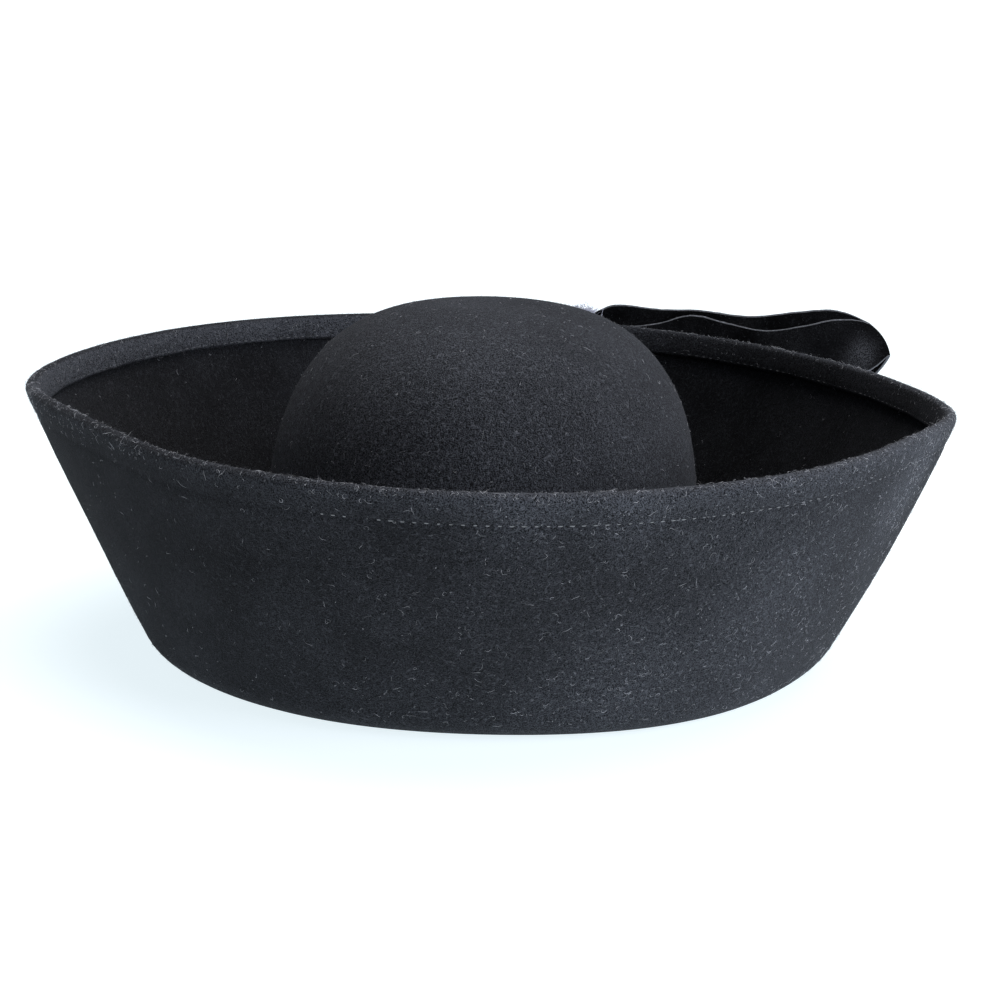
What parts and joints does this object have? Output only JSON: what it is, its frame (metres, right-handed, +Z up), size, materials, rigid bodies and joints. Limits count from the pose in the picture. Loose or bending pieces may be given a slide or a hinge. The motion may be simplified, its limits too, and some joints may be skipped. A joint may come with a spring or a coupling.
{
  "type": "breton hat",
  "caption": "Black wool felt breton hat with a rounded crown, a deep upturned brim all round and a felt bow sewn under the rim at the back.",
  "frame": {"origin": "on the surface that the hat stands on, under the middle of the whole hat with its bow", "axes": "+Z up, -Y the way the wearer would face, +X the wearer's left, the bow at +Y"},
  "size_m": [0.378, 0.4278, 0.14],
  "materials": {
    "hat_felt": "matte blocked wool felt, near black with pale lint",
    "bow_felt": "matte thinner black wool felt with paler cut edges"
  },
  "bodies": {
    "root": {"crown": "hat_felt", "brim": "hat_felt", "bow_knot": "bow_felt", "bow_loop_left": "bow_felt", "bow_loop_right": "bow_felt"}
  },
  "joints": []
}
